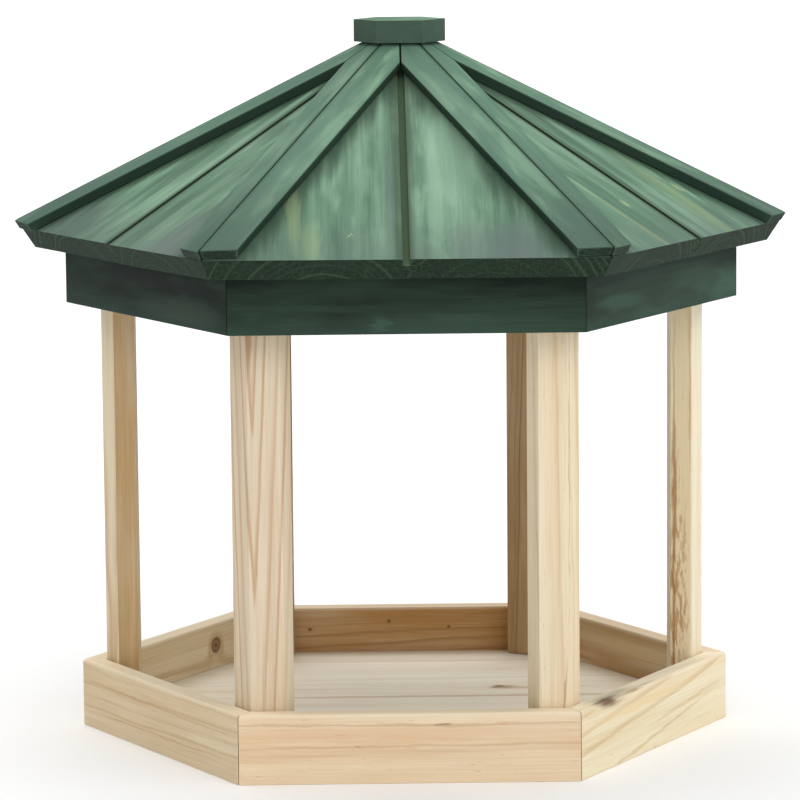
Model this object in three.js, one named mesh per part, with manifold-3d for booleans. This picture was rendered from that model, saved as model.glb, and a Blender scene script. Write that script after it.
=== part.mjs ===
// A hexagonal bird feeder of fir: a rimmed tray, six corner posts and a boarded roof with a cap.
// Millimetres, +Z up. The origin is on the ground under the centre. Corners lie at 0, 60 ... 300
// degrees round Z and faces at 30, 90 ... 330 degrees; the front is -Y.
import * as THREE from 'three';
import { mergeVertices } from 'three/addons/utils/BufferGeometryUtils.js';
import Module from 'manifold-3d';

// ---- Driving dimensions ------------------------------------------------------------------------

// Tray
const trayAcross = 280;         // corner to corner over the rim
const rimHeight = 29;
const rimThickness = 9;
const rimEdgeEase = 0.8;        // chamfer on the rim's top edges
const floorThickness = 8.5;
const floorBoardWidth = 75;     // the middle board; the other two fill what is left

// Posts
const postWidth = 19.6;         // across the corner
const widePostWidth = 24;       // the front left post is sawn from a wider stick
const postDepth = 14.4;         // from the outer corner to the inner face
const postTopGap = 3;           // between a post's top and the roof boards

// Roof
const overallHeight = 305;
const roofAcross = 330;         // corner to corner at the eave, on the battens' top
const roofPitch = THREE.MathUtils.degToRad(30);
const peakAcross = 33;          // corner to corner of the flat on which the cap sits
const roofBoardThickness = 9.5;
const battenThickness = 4.2;
const battenWidth = 13.5;
const battenSeam = 0.5;         // between the two battens of a hip, and where a face's battens meet
const fasciaThickness = 12.6;
const fasciaHeight = 30;        // of its outer face
const capAcross = 39;
const capThickness = 9.5;

// Tongue-and-groove edges
const roofTongue = { width: 3.2, reach: 3, reveal: 3 };    // reveal: open strip above the tongue
const floorTongue = { width: 2.6, reach: 3, reveal: 0.3 };

// Screws
const screwRadius = 1.5;
const screwHeadRadius = 3;
const screwHeadHeight = 1.8;
const screwTip = 3;
const floorScrewLength = 30;
const floorScrewSink = 0.5;     // head below the underside of the floor
const fasciaScrewLength = 23;
const fasciaScrewSink = 1.5;    // head below the post's inner face, on the screw's axis
const capScrewLength = 17;
const screwSegments = 16;

// Clearances
const seatGap = 0.3;            // between a piece and the piece it is fixed to
const screwGap = 0.3;           // round a screw, on the radius

// ---- Values worked out from them ---------------------------------------------------------------

const sixth = Math.PI / 3;
const cornerToFlat = Math.cos(sixth / 2);    // flat distance over corner radius, in a hexagon
const hipRun = Math.tan(sixth / 2);          // half a side's length over its flat distance
const farAway = 2 * Math.max(trayAcross, roofAcross, overallHeight);

const rimOuter = (trayAcross / 2) * cornerToFlat;    // distances named Outer and Inner are to a flat
const rimInner = rimOuter - rimThickness;
const postFace = rimInner - seatGap;
const postCorner = postFace / cornerToFlat;
const fasciaInner = postFace + seatGap;
const fasciaOuter = fasciaInner + fasciaThickness;

const capBottom = overallHeight - capThickness;
const roofTop = capBottom - seatGap;
const peakFlat = (peakAcross / 2) * cornerToFlat;
const eaveFlat = (roofAcross / 2) * cornerToFlat;
const eaveTop = roofTop - (eaveFlat - peakFlat) * Math.tan(roofPitch);
const boardTopDepth = battenThickness + seatGap;    // below the battens' top, square to the slope
const boardBottomDepth = boardTopDepth + roofBoardThickness;
const slopeLength = eaveFlat / Math.cos(roofPitch);

const faces = { back_right: 0, back: 1, back_left: 2, front_left: 3, front: 4, front_right: 5 };
const corners = { right: 0, back_right: 1, back_left: 2, left: 3, front_left: 4, front_right: 5 };
const faceAngle = (index) => (index + 0.5) * sixth;
const cornerAngle = (index) => index * sixth;

// Height of the roof boards' underside at a distance from the axis, square to a face.
function roofUnderside(flat) {
  const underTop = boardBottomDepth / Math.cos(roofPitch);
  return eaveTop + (eaveFlat - flat) * Math.tan(roofPitch) - underTop;
}

const fasciaTop = roofUnderside(fasciaOuter) - seatGap;
const fasciaBottom = fasciaTop - fasciaHeight;

// ---- Solids ------------------------------------------------------------------------------------

const wasm = await Module();
wasm.setup();

function solidOf(geometry) {
  const bare = geometry.clone();
  bare.deleteAttribute('normal');
  bare.deleteAttribute('uv');
  const merged = mergeVertices(bare, 1e-4);
  const index = merged.index.array;
  const triangles = [];
  for (let i = 0; i < index.length; i += 3) {
    const [a, b, c] = [index[i], index[i + 1], index[i + 2]];
    if (a !== b && b !== c && c !== a) triangles.push(a, b, c);
  }
  const vertProperties = Float32Array.from(merged.attributes.position.array);
  const triVerts = Uint32Array.from(triangles);
  return new wasm.Manifold(new wasm.Mesh({ numProp: 3, vertProperties, triVerts }));
}

function geometryOf(solid) {
  const mesh = solid.getMesh();
  const positions = Float32Array.from(mesh.vertProperties);
  const geometry = new THREE.BufferGeometry();
  geometry.setAttribute('position', new THREE.BufferAttribute(positions, 3));
  geometry.setIndex(Array.from(mesh.triVerts));
  geometry.computeVertexNormals();
  return geometry;
}

// A prism: an outline of [x, y] points, extruded by depth along the third axis of the frame.
function prism(outline, depth, frame = new THREE.Matrix4()) {
  const shape = new THREE.Shape(outline.map(([x, y]) => new THREE.Vector2(x, y)));
  const geometry = new THREE.ExtrudeGeometry(shape, { depth, bevelEnabled: false });
  return geometry.applyMatrix4(frame);
}

// The frame whose three axes are given, at an origin.
function frameOf(xAxis, yAxis, origin) {
  const zAxis = new THREE.Vector3().crossVectors(xAxis, yAxis);
  return new THREE.Matrix4().makeBasis(xAxis, yAxis, zAxis).setPosition(origin);
}

const alongX = new THREE.Vector3(1, 0, 0);
const alongY = new THREE.Vector3(0, 1, 0);
const alongZ = new THREE.Vector3(0, 0, 1);

// The space over one face, drawn for the face that looks along +X: between its two hip planes, each
// held back by half a gap, and below a height.
function faceSpace(gap, top) {
  const far = (farAway - gap) * hipRun;
  return solidOf(prism([[gap, 0], [farAway, -far], [farAway, far]], top));
}

// Half of that space, on one side of the face's centre line.
function halfFaceSpace(gap, side, top) {
  const near = gap / 2;
  const far = (farAway - gap) * hipRun;
  const outline = [[gap + near / hipRun, side * near], [farAway, side * near], [farAway, side * far]];
  return solidOf(prism(outline, top));
}

function hexagon(cornerRadius) {
  return Array.from({ length: 6 }, (_, i) => [
    cornerRadius * Math.cos(cornerAngle(i)),
    cornerRadius * Math.sin(cornerAngle(i)),
  ]);
}

// The mating edges of two boards of one thickness, as outlines of [across, height] points with the
// board's top at height 0. The joint is at across = 0; the tongue belongs to the board before it.
function tongueEdge(thickness, tongue) {
  const top = -(thickness - tongue.width) / 2;
  const reach = tongue.reveal / 2 + tongue.reach;
  return [
    [-tongue.reveal / 2, 0],
    [-tongue.reveal / 2, top],
    [reach, top],
    [reach, top - tongue.width],
    [-seatGap / 2, top - tongue.width],
    [-seatGap / 2, -thickness],
  ];
}

function grooveEdge(thickness, tongue) {
  const top = -(thickness - tongue.width) / 2 + seatGap;
  const bottom = top - tongue.width - 2 * seatGap;
  const depth = tongue.reveal / 2 + tongue.reach + seatGap;
  return [
    [seatGap / 2, -thickness],
    [seatGap / 2, bottom],
    [depth, bottom],
    [depth, top],
    [tongue.reveal / 2, top],
    [tongue.reveal / 2, 0],
  ];
}

// ---- Screws, drawn point up with the head's flat face at height 0 --------------------------------

function screwProfile(length, extra) {
  const head = screwHeadRadius + extra;
  const shank = screwRadius + extra;
  return [
    [0, 0],
    [head, 0],
    [shank, screwHeadHeight],
    [shank, length - screwTip + extra],
    [0, length + extra],
  ];
}

function turned(profile) {
  const points = profile.map(([r, h]) => new THREE.Vector2(r, h));
  return new THREE.LatheGeometry(points, screwSegments).rotateX(Math.PI / 2);
}

function screwGeometry(length, place) {
  return geometryOf(solidOf(turned(screwProfile(length, 0)).applyMatrix4(place)));
}

// The hole for a screw: its own shape with the clearance, and a straight way out behind the head.
function screwHole(length, wayOut, place) {
  const profile = screwProfile(length, screwGap);
  profile.splice(0, 1, [0, -wayOut], [screwHeadRadius + screwGap, -wayOut]);
  return solidOf(turned(profile).applyMatrix4(place));
}

// ---- Materials ---------------------------------------------------------------------------------

const bareFir = new THREE.MeshStandardMaterial({ color: '#dcc09a', roughness: 0.75, metalness: 0 });
const greenRoof = new THREE.MeshStandardMaterial({ color: '#4d6e5b', roughness: 0.6, metalness: 0 });
const greenFascia = new THREE.MeshStandardMaterial({ color: '#33453f', roughness: 0.6, metalness: 0 });
const zinc = new THREE.MeshStandardMaterial({ color: '#b9bcc0', roughness: 0.4, metalness: 1 });

const feeder = new THREE.Group();

function addPiece(name, geometry, material, angle = 0) {
  const piece = new THREE.Mesh(geometry, material.clone());
  piece.name = name;
  piece.rotation.z = angle;
  feeder.add(piece);
}

// ---- Screws that hold the posts ------------------------------------------------------------------

// A floor screw stands under the middle of a post. Drawn for the corner at angle 0.
const postMiddle = postCorner - postDepth / 2;
const floorScrewPlace = new THREE.Matrix4().makeTranslation(postMiddle, 0, floorScrewSink);

// A fascia screw enters at a post's inner face and passes through the middle of one outer facet,
// square to the fascia board outside it.
const fasciaScrewHeight = (fasciaBottom + fasciaTop) / 2;
const facetDepth = postWidth * hipRun / 2;      // the corner stands this far out from the shoulders
const facetMiddle = new THREE.Vector3(postCorner - facetDepth / 2, postWidth / 4, fasciaScrewHeight);
const facetNormal = new THREE.Vector3(Math.cos(sixth / 2), Math.sin(sixth / 2), 0);
const facetAlong = new THREE.Vector3(-facetNormal.y, facetNormal.x, 0);
const runInPost = (facetMiddle.x - (postCorner - postDepth)) / facetNormal.x;
const fasciaScrewHead = facetMiddle.clone().addScaledVector(facetNormal, fasciaScrewSink - runInPost);
const fasciaScrewPlace = frameOf(facetAlong, alongZ, fasciaScrewHead);

for (const [name, index] of Object.entries(corners)) {
  const floorScrew = screwGeometry(floorScrewLength, floorScrewPlace);
  const fasciaScrew = screwGeometry(fasciaScrewLength, fasciaScrewPlace);
  addPiece(`floor_screw_${name}`, floorScrew, zinc, cornerAngle(index));
  addPiece(`fascia_screw_${name}`, fasciaScrew, zinc, cornerAngle(index));
}

// ---- Tray floor: three boards that run left to right ---------------------------------------------

function floorBoard(nearEdge, farEdge) {
  const frame = frameOf(alongY, alongZ, new THREE.Vector3(-farAway / 2, 0, floorThickness));
  const board = solidOf(prism([...nearEdge, ...farEdge], farAway, frame));
  const plan = solidOf(prism(hexagon((rimInner - seatGap) / cornerToFlat), floorThickness));
  let cut = board.intersect(plan);
  for (const index of Object.values(corners)) {
    const turn = new THREE.Matrix4().makeRotationZ(cornerAngle(index)).multiply(floorScrewPlace);
    cut = cut.subtract(screwHole(floorScrewLength, floorThickness, turn));
  }
  return geometryOf(cut);
}

const shifted = (edge, by) => edge.map(([across, height]) => [across + by, height]);
const sawnEdge = (across) => [[across, 0], [across, -floorThickness]];
const tongued = tongueEdge(floorThickness, floorTongue);
const grooved = grooveEdge(floorThickness, floorTongue);
const halfMiddle = floorBoardWidth / 2;
const frontEdge = sawnEdge(-farAway / 2).reverse();
const backEdge = sawnEdge(farAway / 2);
const frontBoard = floorBoard(frontEdge, shifted(tongued, -halfMiddle));
const middleBoard = floorBoard(shifted(grooved, -halfMiddle), shifted(tongued, halfMiddle));
const backBoard = floorBoard(shifted(grooved, halfMiddle), backEdge);
addPiece('floor_board_front', frontBoard, bareFir);
addPiece('floor_board_middle', middleBoard, bareFir);
addPiece('floor_board_back', backBoard, bareFir);

// ---- Rim, fascia, posts --------------------------------------------------------------------------

// A board that runs along a face, from its section of [distance from the axis, height] points.
function ringBoard(section) {
  const frame = frameOf(alongX, alongZ, new THREE.Vector3(0, farAway / 2, 0));
  return solidOf(prism(section, farAway, frame)).intersect(faceSpace(seatGap, overallHeight));
}

const rimSection = [
  [rimInner, 0],
  [rimOuter, 0],
  [rimOuter, rimHeight - rimEdgeEase],
  [rimOuter - rimEdgeEase, rimHeight],
  [rimInner + rimEdgeEase, rimHeight],
  [rimInner, rimHeight - rimEdgeEase],
];
const fasciaSection = [
  [fasciaInner, fasciaBottom],
  [fasciaOuter, fasciaBottom],
  [fasciaOuter, fasciaTop],
  [fasciaInner, roofUnderside(fasciaInner) - seatGap],
];
const rimBoard = ringBoard(rimSection);
const screwToFace = new THREE.Matrix4().makeRotationZ(-sixth / 2).multiply(fasciaScrewPlace);
const fasciaBoard = ringBoard(fasciaSection).subtract(screwHole(fasciaScrewLength, 0, screwToFace));
for (const [name, index] of Object.entries(faces)) {
  addPiece(`rim_board_${name}`, geometryOf(rimBoard), bareFir, faceAngle(index));
  addPiece(`fascia_board_${name}`, geometryOf(fasciaBoard), greenFascia, faceAngle(index));
}

// A post is a stick whose outer side is cut to fit the corner. Drawn for the corner at angle 0.
function postGeometry(width) {
  const half = width / 2;
  const shoulder = postCorner - half * hipRun;
  const inner = postCorner - postDepth;
  const outline = [[postCorner, 0], [shoulder, half], [inner, half], [inner, -half], [shoulder, -half]];
  const bottom = floorThickness + seatGap;
  const top = roofUnderside(postFace) - postTopGap;
  const frame = new THREE.Matrix4().makeTranslation(0, 0, bottom);
  return geometryOf(
    solidOf(prism(outline, top - bottom, frame))
      .subtract(screwHole(floorScrewLength, 0, floorScrewPlace))
      .subtract(screwHole(fasciaScrewLength, postDepth, fasciaScrewPlace)),
  );
}

for (const [name, index] of Object.entries(corners)) {
  const width = name === 'front_left' ? widePostWidth : postWidth;
  addPiece(`post_${name}`, postGeometry(width), bareFir, cornerAngle(index));
}

// ---- Roof: two boards and two battens on each face, drawn for the face that looks along +X --------

const square = new THREE.Vector3(Math.sin(roofPitch), 0, Math.cos(roofPitch));
const upSlope = new THREE.Vector3(-Math.cos(roofPitch), 0, Math.sin(roofPitch));
const eaveMiddle = new THREE.Vector3(eaveFlat, 0, eaveTop);
const peakHoleRadius = screwRadius + screwGap;
const peakRod = new THREE.CylinderGeometry(peakHoleRadius, peakHoleRadius, farAway, screwSegments);
const peakHole = solidOf(peakRod.rotateX(Math.PI / 2));

// The section lies across the slope; the board runs down to the eave, where it is sawn square.
function roofBoard(edge, side) {
  const wide = side * farAway / 2;
  const section = [...edge, [wide, edge.at(-1)[1]], [wide, edge[0][1]]];
  const start = eaveMiddle.clone()
    .addScaledVector(upSlope, slopeLength)
    .addScaledVector(square, -boardTopDepth);
  const board = solidOf(prism(section, slopeLength, frameOf(alongY, square, start)));
  return board.intersect(faceSpace(seatGap, roofTop)).subtract(peakHole);
}

// A batten lies along the hip with its outer edge mitred to the next face's batten.
function batten(side) {
  const hipSpread = Math.cos(roofPitch) * hipRun;    // across the face, for each unit down the slope
  const inset = battenWidth * Math.hypot(1, hipSpread);
  const eaveHip = eaveFlat * hipRun;
  const peakHip = eaveHip - slopeLength * hipSpread;
  const outline = [
    [side * (eaveHip - inset), 0],
    [side * (eaveHip + battenWidth), 0],
    [side * (peakHip + battenWidth), slopeLength],
    [side * (peakHip - inset), slopeLength],
  ];
  const start = eaveMiddle.clone().addScaledVector(square, -battenThickness);
  const strip = solidOf(prism(outline, battenThickness, frameOf(alongY, upSlope, start)));
  return strip.intersect(halfFaceSpace(battenSeam, side, roofTop));
}

const leftBoard = roofBoard(tongueEdge(roofBoardThickness, roofTongue), -1);
const rightBoard = roofBoard(grooveEdge(roofBoardThickness, roofTongue), 1);
const leftBatten = batten(-1);
const rightBatten = batten(1);
for (const [name, index] of Object.entries(faces)) {
  addPiece(`roof_board_${name}_face_left`, geometryOf(leftBoard), greenRoof, faceAngle(index));
  addPiece(`roof_board_${name}_face_right`, geometryOf(rightBoard), greenRoof, faceAngle(index));
  addPiece(`hip_batten_${name}_face_left`, geometryOf(leftBatten), greenRoof, faceAngle(index));
  addPiece(`hip_batten_${name}_face_right`, geometryOf(rightBatten), greenRoof, faceAngle(index));
}

// ---- Cap and the screw that holds it -------------------------------------------------------------

// The screw's conical head bears on the rim of the hole through the peak, from below.
const headSlope = screwHeadHeight / (screwHeadRadius - screwRadius);
const headBelowHole = (screwHeadRadius - peakHoleRadius) * headSlope;
const capScrewHead = roofUnderside(peakHoleRadius) - seatGap - headBelowHole;
const capScrewPlace = new THREE.Matrix4().makeTranslation(0, 0, capScrewHead);
const capPlace = new THREE.Matrix4().makeTranslation(0, 0, capBottom);
const capBlock = solidOf(prism(hexagon(capAcross / 2), capThickness, capPlace));
addPiece('cap', geometryOf(capBlock.subtract(screwHole(capScrewLength, 0, capScrewPlace))), greenRoof);
addPiece('cap_screw', screwGeometry(capScrewLength, capScrewPlace), zinc);

export default feeder;
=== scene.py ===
# A hexagonal bird feeder of fir, standing alone on a pale floor. The sections follow the order in which
# it is put together: tray floor, rim, posts, fascia, roof boards, battens, cap and screws.
import math
import random

import bmesh
import bpy
from mathutils import Euler, Matrix, Vector


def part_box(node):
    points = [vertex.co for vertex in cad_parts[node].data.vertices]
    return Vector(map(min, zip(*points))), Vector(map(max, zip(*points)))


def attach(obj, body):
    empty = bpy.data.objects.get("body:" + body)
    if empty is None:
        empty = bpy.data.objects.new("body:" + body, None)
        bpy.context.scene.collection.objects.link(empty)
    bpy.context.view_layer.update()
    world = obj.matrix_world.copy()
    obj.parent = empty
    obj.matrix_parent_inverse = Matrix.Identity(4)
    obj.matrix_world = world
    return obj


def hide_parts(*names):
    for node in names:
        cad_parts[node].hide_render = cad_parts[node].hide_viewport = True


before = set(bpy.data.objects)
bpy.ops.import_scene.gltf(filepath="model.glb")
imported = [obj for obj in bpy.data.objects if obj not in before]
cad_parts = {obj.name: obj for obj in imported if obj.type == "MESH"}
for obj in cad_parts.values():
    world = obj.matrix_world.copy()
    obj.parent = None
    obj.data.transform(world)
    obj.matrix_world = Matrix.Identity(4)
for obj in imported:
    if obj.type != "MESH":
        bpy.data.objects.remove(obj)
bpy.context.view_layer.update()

bpy.ops.object.select_all(action="DESELECT")

# ---- Tray floor ----------------------------------------------------------------------------------
# Three planed fir boards, tongued together, with the grain running left to right. The timber is
# bare: pale, with long faint rings, brown bands of heartwood and one small dark knot.

MM = 0.001
FLOOR_EASE = 0.25 * MM
EASE_STEPS = 3
WELD = 0.01 * MM
# Faces closer than this are one sawn face, edges sharper than this are eased, and a face within this
# of a sawn one is no part of an eased edge. Below the last angle the shading runs smoothly on.
COPLANAR = math.radians(2)
SHARP = math.radians(20)
SAWN_FLAT = math.radians(3)
SMOOTH = math.radians(40)


def eased_copy(node, ease):
    """A piece in the shape of a sawn part, with its sharp edges taken off as sandpaper does. The new
    faces along the edges carry the attribute "rubbed"."""
    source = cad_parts[node]
    piece = source.copy()
    piece.data = source.data.copy()
    piece.parent = None
    piece.name = node + "_timber"
    piece.data.name = piece.name
    for key in list(piece.keys()):
        del piece[key]
    bpy.context.scene.collection.objects.link(piece)
    bpy.ops.object.select_all(action="DESELECT")
    piece.select_set(True)
    bpy.context.view_layer.objects.active = piece
    piece.data.materials.clear()
    bpy.ops.object.mode_set(mode="EDIT")
    bpy.ops.mesh.select_all(action="SELECT")
    bpy.ops.mesh.remove_doubles(threshold=WELD)
    bpy.ops.mesh.dissolve_limited(angle_limit=COPLANAR)
    bpy.ops.mesh.select_all(action="DESELECT")
    bpy.ops.mesh.select_mode(type="EDGE")
    mesh = bmesh.from_edit_mesh(piece.data)
    sawn = [face.normal.copy() for face in mesh.faces]
    for edge in mesh.edges:
        edge.select_set(len(edge.link_faces) == 2 and edge.calc_face_angle(0) > SHARP)
    bmesh.update_edit_mesh(piece.data)
    bpy.ops.mesh.bevel(
        offset=ease, offset_type="OFFSET", segments=EASE_STEPS, profile=0.5, clamp_overlap=True
    )
    bpy.ops.object.mode_set(mode="OBJECT")
    edge_wear_and_highlight = piece.data.attributes.new("edge_wear_and_highlight", "FLOAT", "FACE")
    flat = math.cos(SAWN_FLAT)
    for face, value in zip(piece.data.polygons, edge_wear_and_highlight.data):
        value.value = 0.0 if any(face.normal.dot(normal) > flat for normal in sawn) else 1.0
    bpy.ops.object.shade_smooth_by_angle(angle=SMOOTH)
    bpy.ops.object.modifier_add(type="WEIGHTED_NORMAL")
    piece.modifiers[-1].keep_sharp = True
    bpy.ops.object.modifier_apply(modifier=piece.modifiers[-1].name)
    return piece


def fit(piece, node, material):
    """Puts a finished piece in the place of the part it was made for."""
    piece.data.materials.append(material)
    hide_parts(node)
    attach(piece, "root")


def linear(hex_code):
    """The linear colour of an sRGB hex value."""
    values = [int(hex_code[i : i + 2], 16) / 255 for i in (1, 3, 5)]
    return [v / 12.92 if v <= 0.04045 else ((v + 0.055) / 1.055) ** 2.4 for v in values] + [1]


def add(tree, kind, inputs=None, **settings):
    """Adds a node, with its settings and with a value or a link for each named input."""
    made = tree.nodes.new(kind)
    for key, value in settings.items():
        setattr(made, key, value)
    for key, value in (inputs or {}).items():
        if isinstance(value, bpy.types.NodeSocket):
            tree.links.new(value, made.inputs[key])
        else:
            made.inputs[key].default_value = value
    return made


# Each pattern's cycles in a millimetre along and across the grain, and its detail. Real fir fibres are
# about 0.05 mm across; "fibre" is drawn ten times as coarse, so that it still shows from a step away.
PATTERNS = (
    ("stray", (0.012, 0.040, 0.040), 2),
    ("tatter", (0.060, 0.450, 0.450), 3),
    ("fibre", (0.030, 1.900, 1.900), 4),
    ("streak", (0.006, 0.200, 0.200), 2),
    ("smear", (0.026, 0.110, 0.110), 2.5),
    ("band", (0.003, 0.090, 0.090), 2),
    ("cloud", (0.012, 0.035, 0.035), 3),
    ("fleck", (0.160, 1.500, 1.500), 1),
    ("mottle", (0.140, 0.800, 0.800), 5),
)
# How far apart, in cycles, two patterns of one board start, and those of two boards.
PATTERNS_APART = 9
SEEDS_APART = (7.3, 3.1, 5.7)
# A pattern swings about one half. A mark's edge is torn so far, in millimetres, along and across.
TO_ZERO = (-0.5, -0.5, -0.5)
TEAR = (14, 3, 3)
# The rings' swelling round a knot: its shape, its height and how soon it fades, all in knot radii.
SWELL_SHAPE = (1.25, 3, 1)
SWELL_HEIGHT = 2.0
SWELL_FADE = 0.6
# How quickly the years grow wider or narrower, and how far apart two boards start in that and in
# how dark a year is.
YEARS_PACE = 0.35
PACE_APART = 11.0
LUCK_APART = 17.0
# A year's colour: a faint start, palest wood in spring, darkest in late summer.
YEAR_START = (0.06, 0.06, 0.06, 1)
PALEST_AT = 0.45
DARKEST_AT = 0.88


def growth_rings(tree, strayed, along, pith, ring, taper, plain, seed, knots):
    """The rings of a tree, cut through by a board: 0 in a year's palest wood and up to 1 in its darkest.
    They stand round the pith, open out with the taper and swell round a knot, and the years differ in
    width and in how dark they grow."""
    to_pith = (0, -pith[0], -pith[1])
    beside = add(tree, "ShaderNodeVectorMath", {0: strayed, 1: to_pith}, operation="ADD").outputs[0]
    across = add(tree, "ShaderNodeVectorMath", {0: beside, 1: (0, 1, 1)}, operation="MULTIPLY").outputs[0]
    age = add(tree, "ShaderNodeVectorMath", {0: across}, operation="LENGTH").outputs["Value"]
    age = add(tree, "ShaderNodeMath", {0: along, 1: taper, 2: age}, operation="MULTIPLY_ADD").outputs[0]
    for centre, size in knots:
        off = add(
            tree,
            "ShaderNodeMapping",
            {"Vector": strayed, "Location": centre, "Scale": [size * part for part in SWELL_SHAPE]},
            vector_type="TEXTURE",
        ).outputs[0]
        far = add(tree, "ShaderNodeVectorMath", {0: off}, operation="LENGTH").outputs["Value"]
        wide = add(
            tree, "ShaderNodeMath", {0: far, 1: far, 2: SWELL_FADE}, operation="MULTIPLY_ADD"
        ).outputs[0]
        swell = add(
            tree, "ShaderNodeMath", {0: size * SWELL_HEIGHT, 1: wide}, operation="DIVIDE"
        ).outputs[0]
        age = add(tree, "ShaderNodeMath", {0: age, 1: swell}, operation="ADD").outputs[0]
    years = add(tree, "ShaderNodeMath", {0: age, 1: ring}, operation="DIVIDE").outputs[0]
    pace = add(
        tree, "ShaderNodeMath", {0: years, 1: YEARS_PACE, 2: seed * PACE_APART}, operation="MULTIPLY_ADD"
    ).outputs[0]
    uneven = add(
        tree, "ShaderNodeTexNoise", {"W": pace, "Scale": 1.0, "Detail": 1.0}, noise_dimensions="1D"
    ).outputs[0]
    count = add(tree, "ShaderNodeMath", {0: uneven, 1: 1.0, 2: years}, operation="MULTIPLY_ADD").outputs[0]
    season = add(tree, "ShaderNodeMath", {0: count}, operation="FRACT").outputs[0]
    year = add(tree, "ShaderNodeMath", {0: count}, operation="FLOOR").outputs[0]
    lot = add(tree, "ShaderNodeMath", {0: year, 1: seed * LUCK_APART}, operation="ADD").outputs[0]
    luck = add(tree, "ShaderNodeTexWhiteNoise", {"W": lot}, noise_dimensions="1D").outputs["Value"]
    weight = add(tree, "ShaderNodeMapRange", {"Value": luck, "To Min": plain, "To Max": 1.0}).outputs[0]
    late = add(tree, "ShaderNodeValToRGB", {0: season})
    late.color_ramp.interpolation = "EASE"
    late.color_ramp.elements[0].color = YEAR_START
    late.color_ramp.elements[1].color = YEAR_START
    late.color_ramp.elements.new(PALEST_AT).color = (0, 0, 0, 1)
    late.color_ramp.elements.new(DARKEST_AT).color = (1, 1, 1, 1)
    return add(tree, "ShaderNodeMath", {0: late.outputs[0], 1: weight}, operation="MULTIPLY").outputs[0]


def figure_of(tree, lie, pith, ring, taper, drift, plain, seed, knots, toward):
    """The figure of a sawn board, in millimetres. lie is where the board's own frame stands and how it
    is turned, with X along the grain. pith is the tree's centre beside that frame's X axis, ring the
    width of a year's growth, taper the growth in radius along the grain, and drift how far a ring
    strays. A knot is its place and its radius. toward measures how far a point lies along a direction:
    a name, the direction, a start and how ragged it is. plain is the weight of the faintest year.
    Gives the patterns by name."""
    spot = add(tree, "ShaderNodeTexCoord")
    own = add(
        tree,
        "ShaderNodeMapping",
        {"Vector": spot.outputs["Object"], "Location": lie[0], "Rotation": lie[1], "Scale": (MM, MM, MM)},
        vector_type="TEXTURE",
    ).outputs[0]
    figure = {"own": own}
    for count, (name, stretch, detail) in enumerate(PATTERNS):
        moved = [seed * step for step in SEEDS_APART]
        moved[0] += count * PATTERNS_APART
        at = add(
            tree, "ShaderNodeMapping", {"Vector": own, "Scale": stretch, "Location": moved}
        ).outputs[0]
        made = add(
            tree, "ShaderNodeTexNoise", {"Vector": at, "Scale": 1.0, "Detail": detail, "Roughness": 0.55}
        )
        figure[name] = made.outputs["Color" if name in ("stray", "tatter") else 0]
    offset = add(tree, "ShaderNodeVectorMath", {0: figure["tatter"], 1: TO_ZERO}, operation="ADD").outputs[0]
    figure["ragged"] = add(
        tree, "ShaderNodeVectorMath", {0: offset, 1: TEAR, 2: own}, operation="MULTIPLY_ADD"
    ).outputs[0]
    offset = add(tree, "ShaderNodeVectorMath", {0: figure["stray"], 1: TO_ZERO}, operation="ADD").outputs[0]
    strayed = add(
        tree, "ShaderNodeVectorMath", {0: offset, 1: (0, drift, drift), 2: own}, operation="MULTIPLY_ADD"
    ).outputs[0]
    place = add(tree, "ShaderNodeSeparateXYZ", {0: own})
    figure["depth"] = place.outputs["Z"]
    figure["rings"] = growth_rings(
        tree, strayed, place.outputs["X"], pith, ring, taper, plain, seed, knots
    )
    turned = add(
        tree,
        "ShaderNodeMapping",
        {"Vector": spot.outputs["Normal"], "Rotation": lie[1]},
        vector_type="TEXTURE",
    ).outputs[0]
    facing = add(tree, "ShaderNodeSeparateXYZ", {0: turned})
    figure["top"] = facing.outputs["Z"]
    figure["side"] = facing.outputs["Y"]
    figure["end"] = add(
        tree, "ShaderNodeMath", {0: facing.outputs["X"]}, operation="ABSOLUTE"
    ).outputs[0]
    figure["endtatter"] = add(
        tree, "ShaderNodeMath", {0: figure["end"], 1: figure["mottle"]}, operation="MULTIPLY"
    ).outputs[0]
    figure["endrings"] = add(
        tree, "ShaderNodeMath", {0: figure["end"], 1: figure["rings"]}, operation="MULTIPLY"
    ).outputs[0]
    figure["edge_wear_and_highlight"] = add(tree, "ShaderNodeAttribute", attribute_name="edge_wear_and_highlight").outputs["Fac"]
    for name, direction, start, ragged in toward:
        reach = add(tree, "ShaderNodeVectorMath", {0: own, 1: direction}, operation="DOT_PRODUCT")
        reach = add(
            tree, "ShaderNodeMath", {0: reach.outputs["Value"], 1: start - ragged / 2}, operation="ADD"
        ).outputs[0]
        figure[name] = add(
            tree, "ShaderNodeMath", {0: figure["streak"], 1: ragged, 2: reach}, operation="MULTIPLY_ADD"
        ).outputs[0]
    return figure


# The levels between which a pattern breaks a mark up, and the radii between which a mark fades in.
BROKEN_UP = (0.36, 0.62)
MARK_EDGE = (1.15, 0.35)
# A knot's coats, from its halo to its heart: the radii between which each fades in, its strength and
# its colour. The grain stretches a knot along the board.
KNOT_COATS = (
    (2.40, 1.00, 0.50, "#a27a4e"),
    (1.15, 0.95, 0.80, "#5a3d25"),
    (0.85, 0.60, 0.75, "#96704a"),
    (0.30, 0.15, 0.90, "#4a321e"),
)
KNOT_SHAPE = (1.1, 4, 1)
# How much the fibres and the torn end grain stand out, beside the rings, and how high all of it is.
FIBRE_RELIEF = 0.7
END_RELIEF = 4.0
RELIEF_HEIGHT = 0.10 * MM


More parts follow.
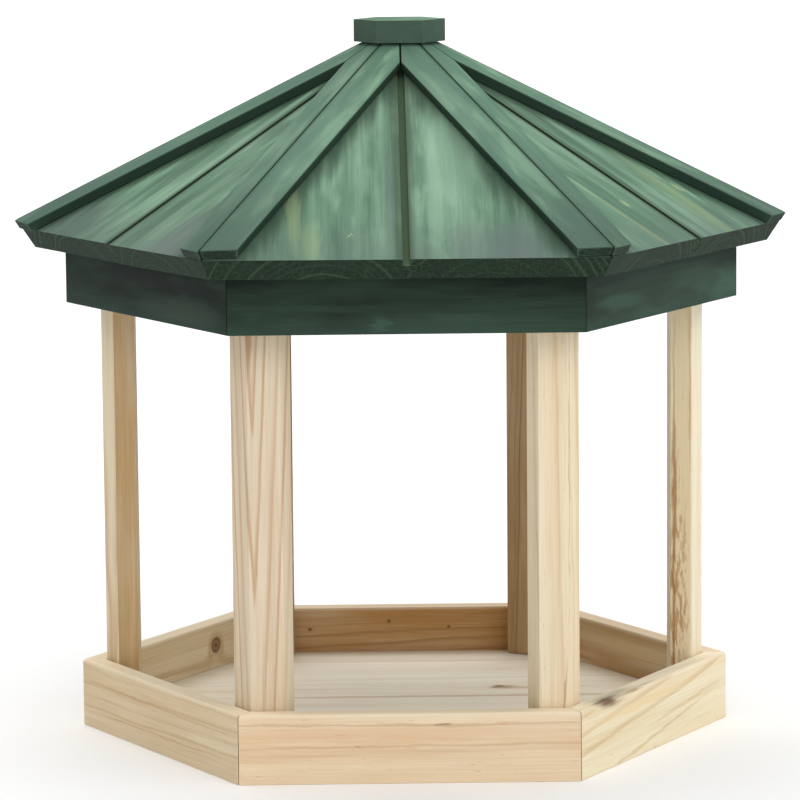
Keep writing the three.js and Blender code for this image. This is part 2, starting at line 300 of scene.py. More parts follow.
def timber(
    name,
    lie,
    first,
    coats,
    pith=(0, -40),
    ring=3.2,
    taper=0.02,
    drift=4.0,
    plain=0.1,
    seed=1.0,
    knots=(),
    marks=(),
    last=(),
    toward=(),
    rough=(0.55, 0.72),
    shine=0.5,
):
    """A board's material. Over the first colour goes each coat: a pattern, the two levels between
    which it fades in, its strength, its colour and how it mixes. A mark is a ragged egg-shaped stain:
    its centre, its radii, its turn, its strength, its colour and, if any, a pattern that breaks it up.
    The last coats go over the marks."""
    material = bpy.data.materials.new(name)
    material.use_nodes = True
    tree = material.node_tree
    tree.nodes.clear()
    figure = figure_of(tree, lie, pith, ring, taper, drift, plain, seed, knots, toward)
    coats = list(coats)
    for number, (centre, radii, turn, strength, shade, *broken) in enumerate(marks):
        egg = add(
            tree,
            "ShaderNodeMapping",
            {"Vector": figure["ragged"], "Location": centre, "Rotation": turn, "Scale": radii},
            vector_type="TEXTURE",
        ).outputs[0]
        far = add(tree, "ShaderNodeVectorMath", {0: egg}, operation="LENGTH").outputs["Value"]
        if broken:
            ripped = add(
                tree,
                "ShaderNodeMapRange",
                {
                    "Value": figure[broken[0]],
                    "From Min": BROKEN_UP[0],
                    "From Max": BROKEN_UP[1],
                    "To Min": 1.0,
                    "To Max": 0.0,
                },
                interpolation_type="SMOOTHSTEP",
            ).outputs[0]
            far = add(tree, "ShaderNodeMath", {0: far, 1: ripped}, operation="ADD").outputs[0]
        figure[f"mark {number}"] = far
        coats.append((f"mark {number}", *MARK_EDGE, strength, shade, "MIX"))
    for number, (centre, size) in enumerate(knots):
        heart = add(
            tree,
            "ShaderNodeMapping",
            {"Vector": figure["own"], "Location": centre, "Scale": [size * part for part in KNOT_SHAPE]},
            vector_type="TEXTURE",
        ).outputs[0]
        figure[f"knot {number}"] = add(
            tree, "ShaderNodeVectorMath", {0: heart}, operation="LENGTH"
        ).outputs["Value"]
        coats += [(f"knot {number}", *coat, "MIX") for coat in KNOT_COATS]
    coats += last
    colour = linear(first)
    for pattern, low, high, strength, shade, mode in coats:
        amount = add(
            tree,
            "ShaderNodeMapRange",
            {"Value": figure[pattern], "From Min": low, "From Max": high, "To Min": 0.0, "To Max": strength},
            interpolation_type="SMOOTHSTEP",
        ).outputs[0]
        colour = add(
            tree,
            "ShaderNodeMix",
            {"Factor": amount, "A": colour, "B": linear(shade)},
            data_type="RGBA",
            blend_type=mode,
        ).outputs["Result"]
    relief = add(
        tree,
        "ShaderNodeMath",
        {0: figure["fibre"], 1: FIBRE_RELIEF, 2: figure["rings"]},
        operation="MULTIPLY_ADD",
    ).outputs[0]
    # End grain is torn by the saw, so it stands rougher than the planed faces.
    relief = add(
        tree,
        "ShaderNodeMath",
        {0: figure["endtatter"], 1: END_RELIEF, 2: relief},
        operation="MULTIPLY_ADD",
    ).outputs[0]
    bump = add(tree, "ShaderNodeBump", {"Height": relief, "Strength": 0.3, "Distance": RELIEF_HEIGHT})
    gloss = add(
        tree,
        "ShaderNodeMapRange",
        {"Value": figure["fibre"], "From Min": 0.3, "From Max": 0.7, "To Min": rough[0], "To Max": rough[1]},
    ).outputs[0]
    surface = add(
        tree,
        "ShaderNodeBsdfPrincipled",
        {
            "Base Color": colour,
            "Roughness": gloss,
            "Normal": bump.outputs[0],
            "IOR": 1.45,
            "Specular IOR Level": shine,
        },
    )
    tree.links.new(surface.outputs[0], add(tree, "ShaderNodeOutputMaterial").inputs[0])
    return material


def bare_fir(
    name,
    lie,
    early="#e3cba8",
    late="#c79b68",
    warm="#d9b184",
    warmth=0.5,
    lines=0.55,
    sided=None,
    painted_top_light=0.0,
    **figure,
):
    """Planed fir with no finish. Early wood is pale and late wood a thin tan line; heartwood runs through
    it in broad warm bands, or shows on one side only. A dry, faintly silky face, darker where the grain
    is cut across, with a painted highlight along its eased edges and, where asked, a top face painted
    lighter as light falling from above."""
    coats = [
        ("band", 0.42, 0.64, warmth, warm, "MIX"),
        ("cloud", 0.40, 0.70, 0.22, "#f3e4ca", "MIX"),
        ("rings", 0.05, 1.00, lines, late, "MIX"),
        ("streak", 0.50, 0.72, 0.16, late, "MIX"),
        ("streak", 0.46, 0.30, 0.25, "#f4e8d2", "MIX"),
        ("fibre", 0.54, 0.34, 0.12, "#b78f62", "MULTIPLY"),
        ("fibre", 0.54, 0.70, 0.10, "#fbf2e2", "MIX"),
        ("fleck", 0.70, 0.78, 0.30, "#a57c50", "MIX"),
        ("end", 0.60, 0.90, 0.50, "#c39a68", "MULTIPLY"),
        # A painted highlight along the eased edges.
        ("edge_wear_and_highlight", 0.00, 1.00, 0.35, "#f3e4ca", "MIX"),
    ]
    if sided:
        coats.insert(0, ("side", 0.80, 0.95, 0.90, sided, "MIX"))
    # The top face painted lighter, as light falling on it from above.
    if painted_top_light:
        coats.append(("top", 0.50, 0.95, painted_top_light, "#fff0d4", "MIX"))
    return timber(name, lie, early, coats, **figure)


FLOOR_WOODS = {
    "front": {"pith": (10, -38), "seed": 2.0},
    "middle": {
        "pith": (-16, -46),
        "seed": 3.4,
        "marks": [
            ((20, 8.5, 0), (120, 2.6, 4), (0, 0, 0), 0.60, "#c2a071"),
            ((-70, 24, 0), (70, 2.2, 4), (0, 0, 0.03), 0.35, "#c2a071"),
            ((58, 25, 0), (26, 2.6, 4), (0, 0, 0.04), 0.50, "#b18a5e"),
            ((44, 27, 0), (7, 4.5, 4), (0, 0, 0), 0.65, "#93714c"),
            ((42, 28, 0), (2.6, 3, 4), (0, 0, 0), 0.85, "#5e4630"),
        ],
    },
    "back": {
        "pith": (14, -40),
        "seed": 4.3,
        "marks": [((0, 13, 0), (90, 1.3, 4), (0, 0, 0), 0.35, "#b9946a")],
    },
}
for place, wood in FLOOR_WOODS.items():
    node = "floor_board_" + place
    low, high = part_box(node)
    lie = ((0, (low.y + high.y) / 2, high.z), (0, 0, 0))
    fir = bare_fir(
        "planed_fir_" + node,
        lie,
        early="#f4ebd9",
        late="#cfb691",
        warm="#e9dabf",
        lines=0.26,
        ring=13.0,
        taper=0.03,
        rough=(0.42, 0.55),
        **wood,
    )
    fit(eased_copy(node, FLOOR_EASE), node, fir)

# ---- Tray rim ------------------------------------------------------------------------------------
# Six fir boards on edge, mitred at the corners and eased along the top. Each comes from another part
# of the tree: the front one is peach, the right one creamy with a bark stain, the back one brown.

RIM_EASE = 0.45 * MM
SIXTH = math.pi / 3
rim_out = -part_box("rim_board_front")[0].y
# In order round the feeder, from +X towards +Y.
RIM_WOODS = {
    "back_right": {
        "early": "#dcc095",
        "late": "#b98b55",
        "warm": "#b88d59",
        "warmth": 0.8,
        "pith": (40, 60),
        "seed": 10.6,
    },
    "back": {
        "early": "#c09157",
        "late": "#9c6c38",
        "warm": "#b37f49",
        "warmth": 0.6,
        "pith": (50, -20),
        "seed": 11.0,
        "knots": [((5.5, 9, 22.5), 0.7), ((42, 9, 19), 0.7), ((-22, 9, 19.5), 0.6)],
    },
    "back_left": {
        "early": "#dcc8a4",
        "late": "#b6935f",
        "warm": "#c9ac7e",
        "pith": (46, 30),
        "seed": 12.0,
        "knots": [((-25.6, 9, 18.9), 3.4)],
    },
    "front_left": {
        "early": "#dcc7a2",
        "late": "#be9764",
        "warm": "#d6bc8f",
        "lines": 0.6,
        "pith": (-30, 70),
        "ring": 5.5,
        "taper": 0.012,
        "seed": 13.0,
        "marks": [
            ((0, 0, 20), (90, 6, 0.5), (0, 0.010, 0), 0.40, "#b68c5c"),
            ((0, 0, 8), (90, 6, 0.5), (0, -0.012, 0), 0.35, "#b68c5c"),
        ],
    },
    "front": {
        "early": "#ecd5b2",
        "late": "#d2a77a",
        "warm": "#e3bf95",
        "lines": 0.35,
        "pith": (-55, 40),
        "ring": 6.5,
        "taper": 0.008,
        "seed": 14.0,
        "marks": [
            ((-5, 0, 21), (110, 12, 3.6), (0, 0, 0), 0.45, "#dcaf82"),
            ((0, 0, 24.4), (120, 6, 0.8), (0, 0.004, 0), 0.45, "#c29468"),
            ((0, 0, 15.6), (120, 6, 0.8), (0, -0.010, 0), 0.40, "#c6996c"),
            ((12.7, 0, 24.6), (3.0, 3, 0.6), (0, 0, 0), 0.65, "#9c744c"),
            ((-22, 0, 15.6), (1.6, 3, 0.5), (0, 0, 0), 0.5, "#a57c52"),
        ],
    },
    "front_right": {
        "early": "#f0e4c5",
        "late": "#d2b27e",
        "warm": "#e6cf9d",
        "warmth": 0.7,
        "pith": (-45, 60),
        "ring": 6.0,
        "taper": 0.09,
        "seed": 15.0,
        "marks": [
            ((0, 0, 6), (60, 6, 1.1), (0, -0.16, 0), 0.42, "#c7a169"),
            ((25, 0, 14), (45, 6, 1.0), (0, -0.10, 0), 0.30, "#c7a169"),
            ((-20, 2, 22), (60, 12, 2.8), (0, -0.02, 0), 0.5, "#e9cc93"),
            ((-36, 4.5, 29), (24, 3.4, 2.4), (0, 0, 0), 0.70, "#b9b49b"),
            ((-44, 1.2, 28.0), (14, 4.0, 2.7), (0, 0.05, 0.06), 0.95, "#73533d"),
            ((-20, 0.8, 28.9), (22, 1.3, 0.8), (0, 0, 0.03), 0.70, "#a07c58"),
        ],
    },
}
for count, (place, wood) in enumerate(RIM_WOODS.items()):
    node = "rim_board_" + place
    angle = (count + 0.5) * SIXTH
    outward = Vector((math.cos(angle), math.sin(angle), 0))
    lie = (tuple(outward * rim_out), (0, 0, angle + math.pi / 2))
    # The top faces are painted lighter, as light falling on them from above.
    fir = bare_fir("planed_fir_" + node, lie, painted_top_light=0.5, **wood)
    fit(eased_copy(node, RIM_EASE), node, fir)

# ---- Corner posts --------------------------------------------------------------------------------
# Five-sided fir sticks: the outer side is planed to the corner's angle, so the post fits the rim and
# the fascia. The front left one is sawn from a wider stick and shows a tall pointed ring.

POST_EASE = 0.5 * MM
post_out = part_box("post_right")[1].x
# In the same order, each at the corner before its rim board.
POST_WOODS = {
    "right": {
        "early": "#f0e6c8",
        "late": "#caa36c",
        "warm": "#eddfc8",
        "lines": 0.3,
        "pith": (40, 30),
        "ring": 3.4,
        "seed": 20.0,
        "marks": [
            ((90, -10, 10.0), (190, 3.0, 7.5), (0, 0, 0), 0.45, "#c9aa6e"),
            ((45, -10, 11.0), (80, 3.0, 5.5), (0, 0, 0), 0.72, "#a37340", "mottle"),
            ((70, -10, 12.8), (110, 3.0, 0.9), (0, 0, 0), 0.75, "#94602e"),
            ((150, -10, 6.0), (60, 3.0, 0.5), (0, 0, 0), 0.5, "#b98a55"),
        ],
    },
    "back_right": {
        "early": "#bd9c6e",
        "late": "#7f5c35",
        "warm": "#ac8859",
        "lines": 0.65,
        "pith": (-20, 30),
        "ring": 2.4,
        "seed": 21.0,
        "marks": [((90, 2, 4), (140, 1.0, 8), (0, 0, 0), 0.45, "#7d5c37")],
    },
    "back_left": {
        "early": "#b08c61",
        "late": "#7e5b35",
        "warm": "#997449",
        "warmth": 0.8,
        "lines": 0.7,
        "pith": (-30, 26),
        "ring": 2.6,
        "seed": 22.0,
        "marks": [
            ((40, 0, 12), (40, 30, 0.7), (0, 0, 0), 0.7, "#53391f"),
            ((30, 0, 8), (30, 30, 0.6), (0, 0, 0), 0.7, "#53391f"),
        ],
    },
    "left": {
        "early": "#dfd0b0",
        "late": "#b9915b",
        "pith": (-12, 34),
        "ring": 2.8,
        "taper": -0.02,
        "seed": 23.0,
        "sided": "#ad8e55",
    },
    "front_left": {
        "early": "#decdb1",
        "late": "#b88959",
        "warm": "#d6bc99",
        "lines": 0.60,
        "pith": (1.33, 1.69),
        "ring": 4.4,
        "taper": -0.050,
        "drift": 2.0,
        "plain": 0.5,
        "seed": 24.0,
        "marks": [((190, 0.8, 0), (30, 1.5, 6), (0, 0, 0), 0.75, "#b08356")],
    },
    "front_right": {
        "early": "#eadaba",
        "late": "#c59b68",
        "warm": "#e4caa3",
        "lines": 0.5,
        "pith": (-30, 22),
        "ring": 4.4,
        "taper": 0.02,
        "seed": 25.0,
        "marks": [
            ((140, 2.2, 2), (110, 0.6, 6), (0, 0, 0.004), 0.55, "#bd905e"),
            ((30, -1.2, 2), (22, 0.7, 6), (0, 0, 0.10), 0.6, "#aa7f50"),
        ],
    },
}
for count, (place, wood) in enumerate(POST_WOODS.items()):
    node = "post_" + place
    angle = count * SIXTH
    lie = ((post_out * math.cos(angle), post_out * math.sin(angle), 0), (0, -math.pi / 2, angle))
    fit(eased_copy(node, POST_EASE), node, bare_fir("planed_fir_" + node, lie, **wood))

# ---- Fascia --------------------------------------------------------------------------------------
# Six boards under the eave, mitred at the corners and brushed with a thick coat of dark green stain,
# so the grain hardly shows. Their edges are knocked a little round. They are painted darker towards
# the eave as shade under it and lighter low down as light, and the front right board is painted
# lighter and the front left one darker, as the light falls.

FASCIA_EASE = 0.8 * MM
fascia_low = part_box("fascia_board_front")[0]
# The cloud colour of each front board: painted light on the front right board, which is lit from the right,
# and painted shade on the front left one.
FASCIA_LIT_AND_SHADED = {"front_right": "#4a6a59", "front_left": "#303c34"}
FASCIA_MARKS = {
    "front": [
        # Painted shade under the eave: a dark band high on the front board.
        ((0, 0, 14.5), (150, 4, 4.0), (0, 0, 0), 0.22, "#171f19"),
        # Painted light: a pale band low on the front board.
        ((5, 0, 3.0), (95, 4, 6.5), (0, 0, 0), 0.26, "#40554a"),
        ((8, 0, 4.0), (34, 4, 6.0), (0, 0, 0), 0.35, "#40554a"),
        ((-10, 0, 4.0), (4, 4, 4.0), (0, 0, 0), 0.30, "#4a6a5a"),
    ],
    "front_left": [
        # Painted shade under the eave, high on the board.
        ((10, 0, 17), (60, 4, 3.5), (0, 0.02, 0), 0.55, "#26262b"),
        ((28, 0, 6), (46, 4, 7.0), (0, 0, 0), 0.45, "#445349"),
    ],
    "front_right": [
        ((-38, 0, 9), (26, 4, 4), (0, 0.05, 0), 0.40, "#466656"),
        ((34, 0, 12), (34, 4, 6), (0, 0.05, 0), 0.35, "#43604f"),
        # Painted light over the whole board, which is lit from the right.
        ((0, 0, 12), (90, 4, 17), (0, 0, 0), 0.40, "#465c4f"),
        # Painted shade under the eave, high on the board.
        ((0, 0, 22), (95, 4, 6.0), (0, 0, 0), 0.32, "#2a3530"),
    ],
}
for count, place in enumerate(RIM_WOODS):
    node = "fascia_board_" + place
    angle = (count + 0.5) * SIXTH
    outward = Vector((math.cos(angle), math.sin(angle), 0))
    lie = (tuple(outward * -fascia_low.y + Vector((0, 0, fascia_low.z))), (0, 0, angle + math.pi / 2))
    # "shadeward" is the way up the board towards the eave; the coats below paint shade under the eave
    # high up and light low down.
    coats = [
        ("band", 0.40, 0.62, 0.60, "#242f27", "MIX"),
        ("cloud", 0.44, 0.68, 0.80, FASCIA_LIT_AND_SHADED.get(place, "#304336"), "MIX"),
        ("smear", 0.52, 0.70, 0.45, "#354a3e", "MIX"),
        ("smear", 0.44, 0.28, 0.35, "#1f2221", "MIX"),
        ("streak", 0.54, 0.74, 0.30, "#344639", "MIX"),
        ("rings", 0.10, 1.00, 0.15, "#171e16", "MIX"),
        ("fibre", 0.52, 0.34, 0.20, "#414d3f", "MULTIPLY"),
        ("fibre", 0.56, 0.72, 0.12, "#3b493c", "MIX"),
        # Painted shade high up under the eave, then painted light low down.
        ("shadeward", 4.0, 11.0, 0.70, "#171f19", "MIX"),
        ("shadeward", -8.0, -15.0, 0.45, "#324a3e", "MIX"),
    ]
    stain = timber(
        "dark_green_stain_" + node,
        lie,
        "#1d271f",
        coats,
        pith=(30, 60),
        ring=4.5,
        seed=30.0 + count,
        last=[
            ("end", 0.60, 0.90, 0.60, "#171e16", "MIX"),
            ("edge_wear_and_highlight", 0.00, 1.00, 0.20, "#3a493c", "MIX"),
        ],
        toward=[("shadeward", (0, 0, 1), -15, 10)],
        marks=FASCIA_MARKS.get(place, ()),
        rough=(0.56, 0.72),
        shine=0.10,
    )
    fit(eased_copy(node, FASCIA_EASE), node, stain)

# ---- Roof boards ---------------------------------------------------------------------------------
# Two tongue-and-groove boards on each face, with the grain running down the slope and an open strip
# between them above the tongue. They are sawn square at the eave, where the end grain shows.

BOARD_EASE = 0.35 * MM
BOARD_THICKNESS = 9.5 * MM
BATTEN_WIDTH = 13.5 * MM
PITCH = math.radians(30)
HIP_LEAN = math.atan(math.tan(SIXTH / 2) * math.cos(PITCH))
SAWN_END = 1.5 * MM
board_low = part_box("roof_board_front_face_left")[0]
board_top = board_low.z + BOARD_THICKNESS * math.cos(PITCH)
half_eave = -board_low.y * math.tan(SIXTH / 2)
hip_out = (half_eave * math.cos(HIP_LEAN) - BATTEN_WIDTH) / MM


def brushed_green(name, lie, coats, **figure):
    """Fir brushed with green wood stain, which sinks in unevenly: soft smears and streaks along the
    grain, paler on hard wood, grey-violet where it dried thick near the eave, dark olive in the corners,
    partly pooled stain and partly painted shade, and nearly black on end grain. A dull, waxy sheen."""
    all_coats = [
        ("band", 0.40, 0.62, 0.70, "#567660", "MIX"),
        ("cloud", 0.42, 0.66, 0.75, "#85a58d", "MIX"),
        ("smear", 0.50, 0.68, 0.60, "#4c6a59", "MIX"),
        ("smear", 0.46, 0.30, 0.55, "#8aae93", "MIX"),
        ("streak", 0.50, 0.74, 0.30, "#92b499", "MIX"),
        ("streak", 0.46, 0.26, 0.35, "#466150", "MIX"),
        ("rings", 0.10, 1.00, 0.15, "#455e4c", "MIX"),
        ("fibre", 0.52, 0.34, 0.20, "#759282", "MULTIPLY"),
        ("fibre", 0.55, 0.70, 0.10, "#aec9b2", "MIX"),
        ("fleck", 0.70, 0.80, 0.35, "#384b3f", "MIX"),
        *coats,
    ]
    return timber(name, lie, "#63856e", all_coats, rough=(0.60, 0.76), shine=0.12, **figure)


def saw_askew(piece, corner, slope, grain, shift, lean):
    """Moves the end that was sawn at the eave along the grain, by a shift and by a lean for each metre
    along the eave, since a hand-held saw leaves no two ends alike."""
    for vertex in piece.data.vertices:
        place = slope.inverted() @ (vertex.co - corner)
        if place.x > -SAWN_END:
            vertex.co += grain * (shift + lean * place.y)


ROOF_MARKS = {
    "roof_board_front_face_left": [
        ((-32, -45, 0), (34, 3.4, 4), (0, 0, 0.03), 0.40, "#97a879"),
        ((-10, -38, 0), (20, 4.5, 4), (0, 0, 0), 0.40, "#92a77a"),
        ((-15, -22, 0), (0.6, 1.7, 3), (0, 0, 0), 0.60, "#b2c48e"),
        # By the batten's eave end: partly pooled stain and partly painted shade.
        ((-32, -54, 0), (15, 5, 6), (0, 0, 0), 0.50, "#3f5444"),
        ((-40, -6, 0), (45, 2.4, 4), (0, 0, 0), 0.45, "#61726f"),
    ],
    "roof_board_front_face_right": [
        ((-70, 20, 0), (60, 13, 6), (0, 0, 0), 0.40, "#92b59b"),
        ((-6, 44, 0), (22, 16, 6), (0, 0, 0), 0.70, "#62706d"),
        # By the batten's eave end: partly pooled stain and partly painted shade.
        ((-14, 60, 0), (17, 8, 6), (0, 0, 0), 0.55, "#3f5444"),
        ((-10, 24, 0), (16, 9, 6), (0, 0, 0), 0.45, "#6a7673"),
        ((-50, 12, 0), (60, 4.0, 4), (0, 0, 0), 0.40, "#9bbca2"),
    ],
    "roof_board_front_right_face_left": [
        ((-30, -17, 0), (3.5, 2.2, 4), (0, 0, 0), 0.60, "#a5b684"),
        ((-20, -30, 0), (50, 2.2, 4), (0, 0, 0.03), 0.35, "#979e75"),
    ],
    "roof_board_front_right_face_right": [
        ((-25, 30, 0), (45, 7, 4), (0, 0, 0), 0.45, "#8da57c"),
        ((-34, 40, 0), (4, 2, 4), (0, 0, 0), 0.55, "#aebb88"),
    ],
    "roof_board_front_left_face_left": [
        ((-8, -45, 0), (26, 24, 6), (0, 0, 0), 0.60, "#4c5c56"),
        ((-50, -20, 0), (40, 4, 6), (0, 0, 0), 0.40, "#4c6a58"),
    ],
    "roof_board_front_left_face_right": [
        ((-6, 62, 0), (30, 12, 6), (0, 0, 0), 0.50, "#475a50"),
        ((-10, 46, 0), (30, 20, 6), (0, 0, 0), 0.60, "#6a7370"),
        ((-35, 20, 0), (40, 4, 4), (0, 0, 0), 0.45, "#869e8a"),
    ],
}
saw = random.Random(11)
for count, place in enumerate(RIM_WOODS):
    angle = (count + 0.5) * SIXTH
    outward = Vector((math.cos(angle), math.sin(angle), 0))
    eave_middle = outward * -board_low.y + Vector((0, 0, board_top))
    lie = (tuple(eave_middle), (0, PITCH, angle))
    slope = Euler((0, PITCH, angle)).to_matrix()
    for side, sign in (("left", -1), ("right", 1)):
        node = f"roof_board_{place}_face_{side}"
        seed = 40.0 + 2 * count + (sign > 0)
        hip_side = (math.sin(HIP_LEAN), -sign * math.cos(HIP_LEAN), 0)
        material = brushed_green(
            "green_stain_" + node,
            lie,
            [
                ("eaveward", -34.0, 14.0, 0.60, "#5c6d66", "MIX"),
                # Beside the battens the board is darker, partly pooled stain and partly painted shade;
                # beside the open strip it is painted darker as shade.
                ("hipward", 9.0, 0.0, 0.70, "#3a4d3e", "MIX"),
                ("gapward", 5.0, 0.0, 0.70, "#41513f", "MIX"),
            ],
            last=[
                # The sawn sides are darker, partly the stain they soaked up and partly painted shade, and
                # the recessed tongue is painted darker as shade in the strip.
                ("top", 0.95, 0.70, 0.90, "#2f4135", "MIX"),
                ("depth", -0.8, -2.0, 0.75, "#566d4e", "MIX"),
                ("end", 0.55, 0.75, 0.97, "#1a271d", "MIX"),
                ("endrings", 0.05, 0.90, 0.45, "#405846", "MIX"),
                ("endtatter", 0.36, 0.74, 0.30, "#3d5544", "MIX"),
                ("edge_wear_and_highlight", 0.00, 1.00, 0.18, "#759982", "MIX"),
            ],
            pith=(sign * 34, -28),
            ring=3.4,
            seed=seed,
            marks=ROOF_MARKS.get(node, ()),
            toward=[
                ("eaveward", (1, 0, 0), 0, 30),
                ("hipward", hip_side, hip_out, 16),
                ("gapward", (0, sign, 0), -1.6, 5),
            ],
        )
        board = eased_copy(node, BOARD_EASE)
        shift = saw.uniform(0.1, 0.7) * MM
        saw_askew(board, eave_middle, slope, slope @ Vector((1, 0, 0)), shift, saw.uniform(-0.005, 0.005))
        fit(board, node, material)

# ---- Hip battens ---------------------------------------------------------------------------------
# Strips that cover the mitres between the faces, two to a hip, bevelled to meet along the ridge. Their
# sawn sides are darker than the planed tops, partly the stain they drank and partly painted shade, the
# seam between a hip's two strips is painted darker as shade, and end grain shows at the eave.

BATTEN_EASE = 0.5 * MM
BATTEN_THICKNESS = 4.2 * MM
batten_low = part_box("hip_batten_front_face_left")[0]
corner_out = -batten_low.y / math.cos(SIXTH / 2)
corner_top = batten_low.z + BATTEN_THICKNESS * math.cos(PITCH)
for count, place in enumerate(RIM_WOODS):
    for side, sign in (("left", -1), ("right", 1)):
        node = f"hip_batten_{place}_face_{side}"
        face_angle = (count + 0.5) * SIXTH
        corner_angle = face_angle + sign * SIXTH / 2
        outward = Vector((math.cos(corner_angle), math.sin(corner_angle), 0))
        corner = outward * corner_out + Vector((0, 0, corner_top))
        slope = Euler((0, PITCH, face_angle)).to_matrix()
        turn = slope @ Matrix.Rotation(sign * HIP_LEAN, 3, "Z")
        material = brushed_green(
            "green_stain_" + node,
            (tuple(corner), tuple(turn.to_euler())),
            [
                ("smear", 0.34, 0.60, 0.75, "#587869", "MIX"),
                ("cloud", 0.38, 0.66, 0.45, "#607d6b", "MIX"),
                ("eaveward", -90.0, 10.0, 0.65, "#43564d", "MIX"),
                # Painted shade along the seam between a hip's two strips.
                ("seamward", 2.2, 0.2, 0.55, "#3c5143", "MIX"),
            ],
            last=[
                # The sawn sides darker, partly the stain they drank and partly painted shade.
                ("top", 0.95, 0.70, 0.92, "#26382d", "MIX"),
                ("end", 0.55, 0.75, 0.92, "#1d2a22", "MIX"),
                ("endrings", 0.05, 0.90, 0.40, "#3c5342", "MIX"),
                ("endtatter", 0.38, 0.72, 0.40, "#45604f", "MIX"),
                ("edge_wear_and_highlight", 0.00, 1.00, 0.20, "#6f907a", "MIX"),
            ],
            pith=(0, -24),
            ring=2.8,
            seed=60.0 + 2 * count + (sign > 0),
            toward=[("eaveward", (1, 0, 0), 0, 40), ("seamward", (0, -sign, 0), 0, 3)],
        )
        strip = eased_copy(node, BATTEN_EASE)
        shift = saw.uniform(-0.9, 0.9) * MM
        saw_askew(strip, corner, slope, turn @ Vector((1, 0, 0)), shift, saw.uniform(-0.08, 0.08))
        fit(strip, node, material)

# ---- Cap -----------------------------------------------------------------------------------------
# A hexagonal block sawn from a board and laid flat on the peak. Its sawn sides are darker than its
# planed top, partly the stain they drank and partly painted shade.

CAP_EASE = 0.7 * MM
CAP_GRAIN_TURN = 0.4
cap_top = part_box("cap")[1].z
material = brushed_green(
    "green_stain_cap",
    ((0, 0, cap_top), (0, 0, CAP_GRAIN_TURN)),
    [
        # The sawn sides darker, partly the stain they drank and partly painted shade.
        ("top", 0.95, 0.60, 0.90, "#425449", "MIX"),
        ("cloud", 0.55, 0.75, 0.40, "#5e7367", "MIX"),
        ("edge_wear_and_highlight", 0.00, 1.00, 0.35, "#769083", "MIX"),
    ],
    pith=(10, -30),
    seed=90.0,
)
fit(eased_copy("cap", CAP_EASE), "cap", material)

# ---- Screws --------------------------------------------------------------------------------------
# Zinc-plated countersunk wood screws: bright, faintly blue steel with a soft sheen.

zinc = bpy.data.materials.new("zinc_plated_steel")
zinc.use_nodes = True
tree = zinc.node_tree
tree.nodes.clear()
spot = add(tree, "ShaderNodeTexCoord").outputs["Object"]
# The grain of the plating is about 0.1 mm; it is drawn at 0.7 mm, 1400 to the metre, so that it shows.
ZINC_GRAINS = 1400.0
grit = add(tree, "ShaderNodeTexNoise", {"Vector": spot, "Scale": ZINC_GRAINS, "Detail": 3.0}).outputs[0]
plate = add(
    tree,
    "ShaderNodeMix",
    {"Factor": grit, "A": linear("#a9adb3"), "B": linear("#c9ccd0")},
    data_type="RGBA",
)
dull = add(tree, "ShaderNodeMapRange", {"Value": grit, "To Min": 0.25, "To Max": 0.5}).outputs[0]
pits = add(tree, "ShaderNodeBump", {"Height": grit, "Strength": 0.2, "Distance": 0.02 * MM})
surface = add(
    tree,
    "ShaderNodeBsdfPrincipled",
    {"Base Color": plate.outputs["Result"], "Metallic": 1.0, "Roughness": dull, "Normal": pits.outputs[0]},
)
tree.links.new(surface.outputs[0], add(tree, "ShaderNodeOutputMaterial").inputs[0])
for node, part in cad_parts.items():
    if "screw" in node:
        for slot in part.material_slots:
            slot.material = zinc

# ---- Floor, light and camera ---------------------------------------------------------------------
# A white studio: a pale floor, and soft boxes all round, the strongest of them high up.

FLOOR_SIZE = 30
bpy.ops.mesh.primitive_plane_add(size=FLOOR_SIZE, location=(0, 0, 0))
ground = bpy.context.active_object
ground.name = "studio_floor"
paper = bpy.data.materials.new("white_paper")
paper.use_nodes = True
tree = paper.node_tree
tree.nodes.clear()
spot = add(tree, "ShaderNodeTexCoord").outputs["Object"]
mottle = add(tree, "ShaderNodeTexNoise", {"Vector": spot, "Scale": 3.0}).outputs[0]
tint = add(
    tree,
    "ShaderNodeMix",
    {"Factor": mottle, "A": linear("#fafafa"), "B": linear("#fdfdfd")},
    data_type="RGBA",
)
surface = add(tree, "ShaderNodeBsdfPrincipled", {"Base Color": tint.outputs["Result"], "Roughness": 0.9})
tree.links.new(surface.outputs[0], add(tree, "ShaderNodeOutputMaterial").inputs[0])
ground.data.materials.append(paper)

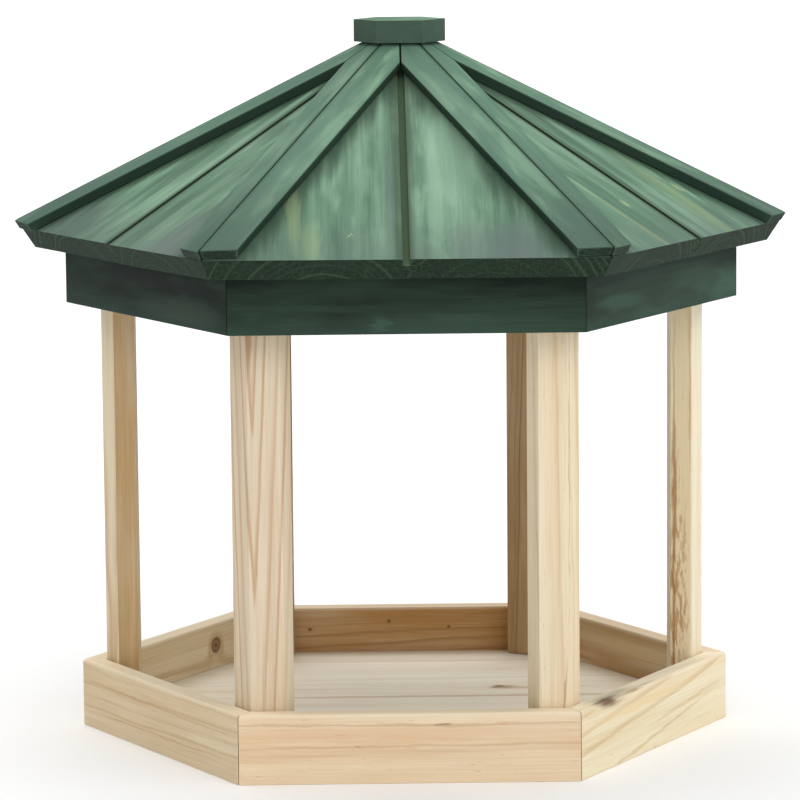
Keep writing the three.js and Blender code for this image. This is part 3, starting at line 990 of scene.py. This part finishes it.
# Each soft box: its direction round the feeder from the front and its height, in degrees, and its light.
SOFT_BOXES = (
    (-125, 54, 1.55),
    (180, 56, 1.35),
    (125, 54, 1.15),
    (8, 52, 1.7),
    (-65, 24, 0.45),
    (62, 24, 1.3),
    (0, 14, 0.4),
)
BOX_REACH = math.cos(math.radians(36))
BOX_HEART = math.cos(math.radians(16))
AMBIENT = 0.07
world = bpy.data.worlds.new("studio")
bpy.context.scene.world = world
world.use_nodes = True
tree = world.node_tree
tree.nodes.clear()
look = add(tree, "ShaderNodeTexCoord").outputs["Generated"]
light = AMBIENT
for azimuth, height, strength in SOFT_BOXES:
    a = math.radians(azimuth)
    h = math.radians(height)
    aim = (math.sin(a) * math.cos(h), -math.cos(a) * math.cos(h), math.sin(h))
    facing = add(tree, "ShaderNodeVectorMath", {0: look, 1: aim}, operation="DOT_PRODUCT").outputs["Value"]
    box = add(
        tree,
        "ShaderNodeMapRange",
        {"Value": facing, "From Min": BOX_REACH, "From Max": BOX_HEART, "To Min": 0.0, "To Max": strength},
        interpolation_type="SMOOTHSTEP",
    ).outputs[0]
    light = add(tree, "ShaderNodeMath", {0: box, 1: light}, operation="ADD").outputs[0]
seen = add(tree, "ShaderNodeLightPath").outputs["Is Camera Ray"]
white = add(tree, "ShaderNodeMix", {"Factor": seen, "A": light, "B": 1.0}).outputs["Result"]
sky = add(tree, "ShaderNodeBackground", {"Color": (1, 1, 1, 1), "Strength": white})
tree.links.new(sky.outputs[0], add(tree, "ShaderNodeOutputWorld").inputs[0])

CAMERA_AZIMUTH = math.radians(-0.8)
CAMERA_HEIGHT = math.radians(7.9)
CAMERA_ROLL = math.radians(-0.5)
CAMERA_AWAY = 1.821
look_at = Vector((-1.1 * MM, 0, 141 * MM))
back = Vector(
    (
        math.sin(CAMERA_AZIMUTH) * math.cos(CAMERA_HEIGHT),
        -math.cos(CAMERA_AZIMUTH) * math.cos(CAMERA_HEIGHT),
        math.sin(CAMERA_HEIGHT),
    )
)
lens = bpy.data.cameras.new("camera")
lens.sensor_width = 36
lens.lens = 190
eye = bpy.data.objects.new("camera", lens)
bpy.context.scene.collection.objects.link(eye)
aimed = back.to_track_quat("Z", "Y").to_matrix() @ Matrix.Rotation(CAMERA_ROLL, 3, "Z")
eye.rotation_euler = aimed.to_euler()
eye.location = look_at + back * CAMERA_AWAY
bpy.context.scene.camera = eye
bpy.context.scene.view_settings.view_transform = "Standard"
